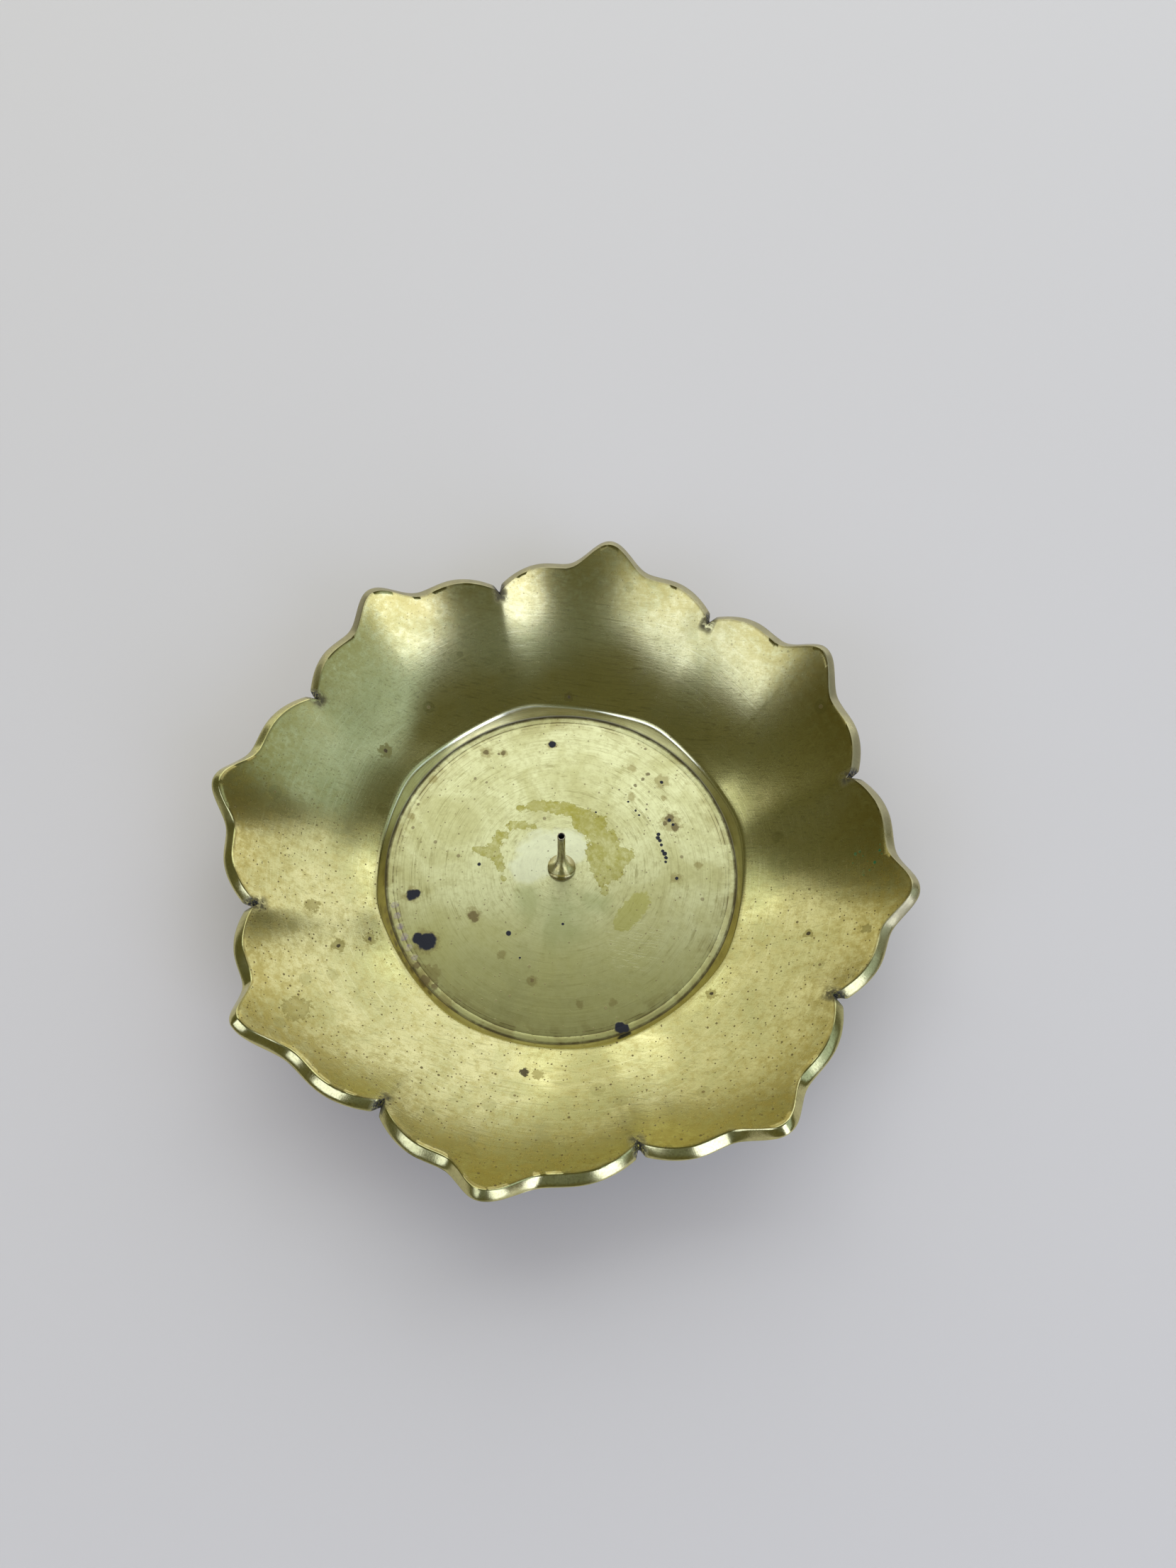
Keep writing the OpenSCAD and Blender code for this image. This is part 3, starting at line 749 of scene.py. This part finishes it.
def trumpet_nozzle():
    """The nozzle: a flared foot that narrows to a thin stem, with its bore and its shank."""
    base_r = nozzle_high.x
    tip_r = 0.86 * MM
    flange_t = 0.45 * MM
    flare_h = 2.5 * MM
    height = nozzle_high.z - seat_z
    shank_r = nozzle_shank_r()
    lip = 0.07 * MM

    def stem_r(h):
        end = math.exp(-(height - flange_t) / flare_h)
        spread = math.exp(-(h - flange_t) / flare_h)
        return tip_r + (base_r - tip_r) * (spread - end) / (1 - end)

    outline = [(0, nozzle_low.z), (shank_r - 0.3 * MM, nozzle_low.z), (shank_r, nozzle_low.z + 0.3 * MM)]
    outline += [(shank_r, seat_z), (base_r - 0.12 * MM, seat_z)]
    outline += arc(base_r - 0.12 * MM, seat_z + 0.12 * MM, 0.12 * MM, -90, 0, 3)
    outline += [(base_r, seat_z + 0.3 * MM)]
    count = 34
    for i in range(count + 1):
        h = flange_t + (height - lip - flange_t) * (i / count) ** 1.7
        outline.append((stem_r(h), seat_z + h))
    outline += arc(tip_r - lip, nozzle_high.z - lip, lip, 20, 90, 3)
    outline += arc(bore_r + lip, nozzle_high.z - lip, lip, 90, 180, 3)
    outline += [(bore_r, nozzle_high.z - bore_depth), (0, nozzle_high.z - bore_depth - 0.3 * MM)]
    piece = turned("trumpet_nozzle", outline, 96)
    piece.data.materials.append(nozzle_finish())
    piece.data.materials.append(bore_finish())
    for face in piece.data.polygons:
        distance = Vector((face.center.x, face.center.y)).length
        if distance < bore_r + 0.01 * MM and face.center.z > nozzle_high.z - bore_depth - 0.4 * MM:
            face.material_index = 1
    smooth(piece, 40)
    settle(piece, "nozzle_brass", "nozzle")
    return piece


def turned_foot():
    """The ring that the dish stands on, with a hollow moulding round its outside."""
    outer = foot_high.x
    inner = outer - 5 * MM
    top = foot_high.z
    edge = 0.5 * MM
    cove = 0.8 * MM
    outline = [(inner, top), (inner, edge)]
    outline += arc(inner + edge, edge, edge, 180, 270, 4)
    outline += arc(outer - edge, edge, edge, -90, 0, 4)
    outline += [(outer, top * 0.3)]
    outline += arc(outer + 0.1 * MM, top * 0.62, cove + 0.1 * MM, 240, 120, 8)
    outline += [(outer - cove / 2, top), (inner, top)]
    piece = turned("turned_foot", outline, 192)
    piece.data.materials.append(foot_finish())
    smooth(piece, 35)
    settle(piece, "foot_brass", "foot_ring")
    return piece


def hardware():
    """The washer and the nut that hold the nozzle, from below."""
    finish = hardware_finish()
    inner = nozzle_shank_r() + 0.1 * MM
    outer = washer_high.x
    low, high = washer_low.z, washer_high.z
    edge = 0.1 * MM
    outline = [(inner, high), (inner, low), (outer - edge, low)]
    outline += arc(outer - edge, low + edge, edge, -90, 0, 3)
    outline += arc(outer - edge, high - edge, edge, 0, 90, 3)
    outline.append((inner, high))
    washer = turned("shank_washer", outline, 64)
    washer.data.materials.append(finish)
    smooth(washer, 35)
    settle(washer, "hardware_brass", "nozzle_washer")
    nut = copy_of_node("nozzle_nut", "shank_nut")
    add_modifier(
        nut, "BEVEL", width=0.15 * MM, segments=2, limit_method="ANGLE", angle_limit=math.radians(40),
    )
    finish_modifiers(nut)
    nut.data.materials.append(finish)
    smooth(nut, 35)
    settle(nut, "hardware_brass", "nozzle_nut")


# ---------------------------------------------------------------- floor, light and camera
# The camera's place and angle are rounded from a fit to points read off the photo. Its lens began with that
# fit, and the lights' strengths with a fit of one render for each light; both were then changed.

def pale_floor():
    deselect()
    bpy.ops.mesh.primitive_plane_add(size=6)
    floor = bpy.context.active_object
    floor.name = "pale_floor"
    material, tree, shader = new_finish("pale_floor")
    shader.inputs["Base Color"].default_value = (0.66, 0.63, 0.59, 1)
    shader.inputs["Roughness"].default_value = 0.6
    floor.data.materials.append(material)


def soft_light(name, turn, height, wide, tall, glow, distance=1.6):
    """A soft box seen from the dish: turn is clockwise from the far side and height above the floor, both in
    degrees, as are the angles wide and tall that it fills. glow is its brightness in red, green and blue."""
    data = bpy.data.lights.new(name, "AREA")
    data.shape = "RECTANGLE"
    data.size = 2 * distance * math.tan(math.radians(wide / 2))
    data.size_y = 2 * distance * math.tan(math.radians(tall / 2))
    strongest = max(glow)
    data.energy = math.pi * data.size * data.size_y * strongest
    data.color = [share / strongest for share in glow]
    light = bpy.data.objects.new(name, data)
    bpy.context.scene.collection.objects.link(light)
    around = math.radians(turn) - FAR_SIDE_TURN
    up = math.radians(height)
    way = Vector((math.sin(around) * math.cos(up), math.cos(around) * math.cos(up), math.sin(up)))
    light.location = way * distance
    light.rotation_euler = way.to_track_quat("Z", "Y").to_euler()
    light.visible_camera = False
    return light


def studio():
    soft_light("far_wall_left", -27, 25, 50, 50, (0.84, 0.87, 0.90))
    soft_light("far_wall_right", 30, 26, 62, 50, (1.04, 1.11, 1.32))
    soft_light("far_ceiling", -3, 61, 60, 22, (1.08, 1.20, 1.30))
    soft_light("near_right_window", 141, 24, 24, 46, (2.15, 2.38, 3.8))
    soft_light("right_wall", 106, 36, 44, 38, (0.42, 0.57, 0.78))
    soft_light("near_wall", 172, 44, 50, 34, (0.045, 0.07, 0.11))
    soft_light("near_left_window", -134, 35, 36, 27, (1.5, 1.7, 2.6))
    table_light = soft_light("table_light", 0, 90, 80, 80, (0.56, 0.53, 0.51))
    table_light.visible_glossy = False
    world = bpy.data.worlds.new("room")
    bpy.context.scene.world = world
    world.use_nodes = True
    back = world.node_tree.nodes["Background"]
    back.inputs["Color"].default_value = (1.0, 0.99, 0.45, 1)
    back.inputs["Strength"].default_value = 0.12


def camera():
    data = bpy.data.cameras.new("camera")
    data.sensor_width = 36
    data.lens = 27.2
    view = bpy.data.objects.new("camera", data)
    bpy.context.scene.collection.objects.link(view)
    view.location = (17.1 * MM, -97.7 * MM, 256.1 * MM)
    view.rotation_euler = [math.radians(a) for a in (25.80, -1.0, 8.99)]
    data.clip_start = 0.01
    bpy.context.scene.camera = view
    bpy.context.scene.view_settings.view_transform = "Standard"


cast_petals()
floor_disc()
trumpet_nozzle()
turned_foot()
hardware()
pale_floor()
studio()
camera()
